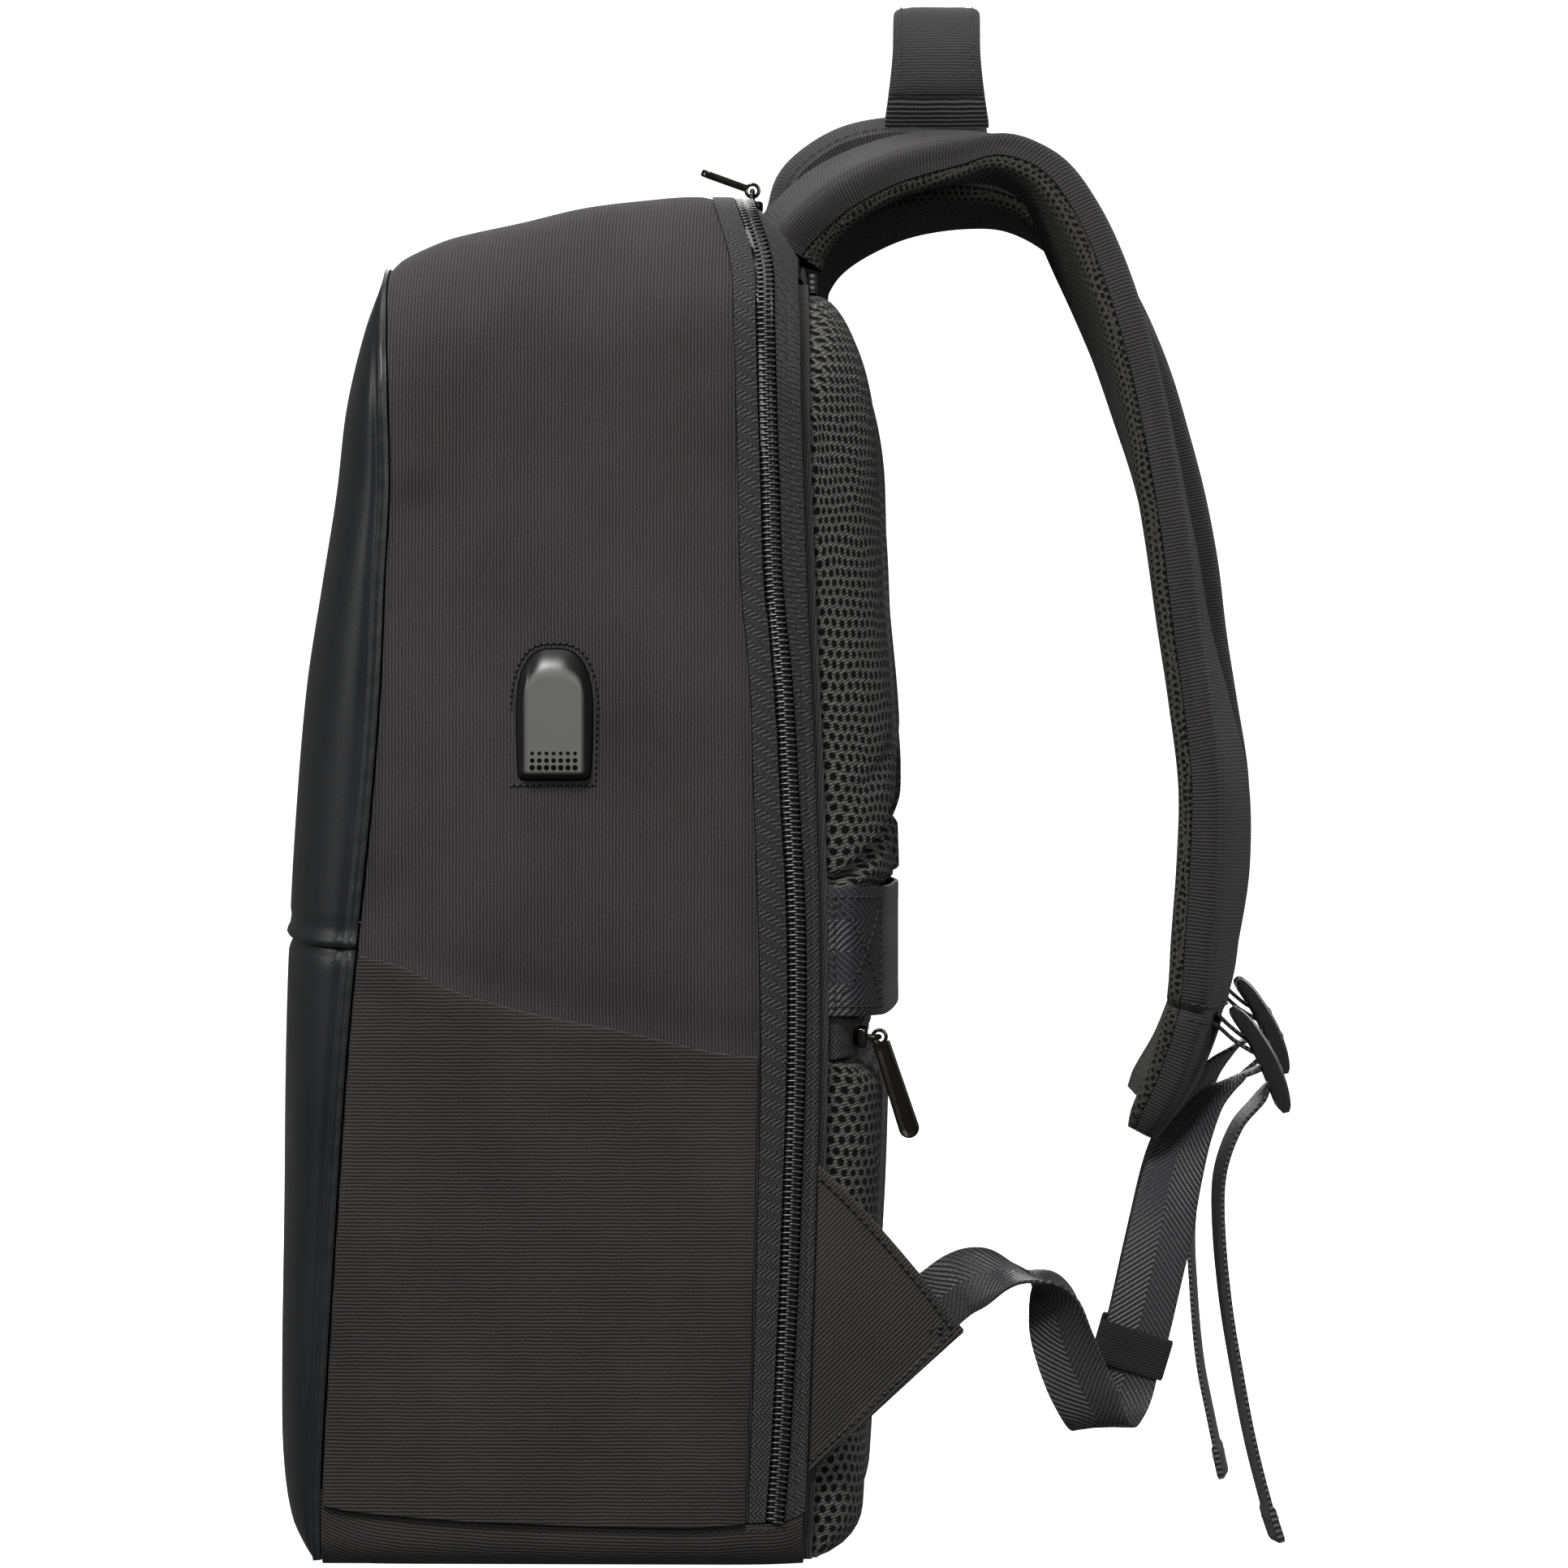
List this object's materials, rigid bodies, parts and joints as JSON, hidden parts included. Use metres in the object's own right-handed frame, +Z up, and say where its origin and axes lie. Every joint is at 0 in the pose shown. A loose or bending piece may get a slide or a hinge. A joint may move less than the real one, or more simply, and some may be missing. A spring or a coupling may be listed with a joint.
{
  "type": "backpack",
  "caption": "Upright laptop backpack with a smooth leather front, cloth sides, a zip over the top, padded mesh back, shoulder straps and a grab handle.",
  "frame": {"origin": "middle of the underside of the base, on the floor the bag stands on", "axes": "+Z up, -Y out of the leather front, +Y towards the wearer's back, +X to the side with the port cover"},
  "size_m": [0.3073, 0.3298, 0.496],
  "materials": {
    "leather": "smooth semi-gloss coated leather",
    "cloth": "matte fine-ribbed polyester",
    "mesh": "matte spacer mesh with honeycomb holes",
    "webbing": "woven herringbone webbing, slightly glossy",
    "zip": "glossy nylon coil",
    "plastic": "glossy moulded acetal",
    "cover": "satin grey moulded rubber",
    "gunmetal": "glossy gunmetal plating"
  },
  "bodies": {
    "bag": {"front_lower_panel": "leather", "front_upper_panel": "leather", "gusset": "cloth", "zip_tape_front": "cloth", "zip_coil": "zip", "zip_tape_back": "cloth", "base_panel": "cloth", "back_panel": "cloth", "upper_back_pad": "mesh", "lumbar_pad": "mesh", "pocket_strip": "cloth", "lower_back_pad": "mesh", "luggage_strap": "webbing", "yoke": "cloth", "handle_sleeve": "webbing", "handle_leg_right": "webbing", "handle_leg_left": "webbing", "port_cover": "cover", "slider_top": "gunmetal", "slider_back": "gunmetal", "side_pocket_right": "cloth", "side_pocket_left": "cloth", "strap_cloth_right": "cloth", "strap_cloth_left": "cloth", "strap_mesh_right": "mesh", "strap_mesh_left": "mesh", "strap_tab_right": "webbing", "strap_tab_left": "webbing", "wing_right": "cloth", "wing_left": "cloth", "buckle_right": "plastic", "buckle_left": "plastic", "connector_right": "webbing", "connector_left": "webbing", "webbing_right": "webbing", "webbing_left": "webbing", "keeper_right": "webbing", "keeper_left": "webbing"},
    "top_pull": {"puller_top": "gunmetal"},
    "back_pull": {"puller_back": "gunmetal"}
  },
  "joints": [
    {"name": "top_pull_swing", "type": "hinge", "parent": "bag", "child": "top_pull", "pos_m": [0, 0.06205, 0.43772], "axis": [1, 0, 0], "range_deg": [-65, 20]},
    {"name": "back_pull_swing", "type": "hinge", "parent": "bag", "child": "back_pull", "pos_m": [0.126, 0.10552, 0.16285], "axis": [1, 0, 0], "range_deg": [-8, 70]}
  ]
}
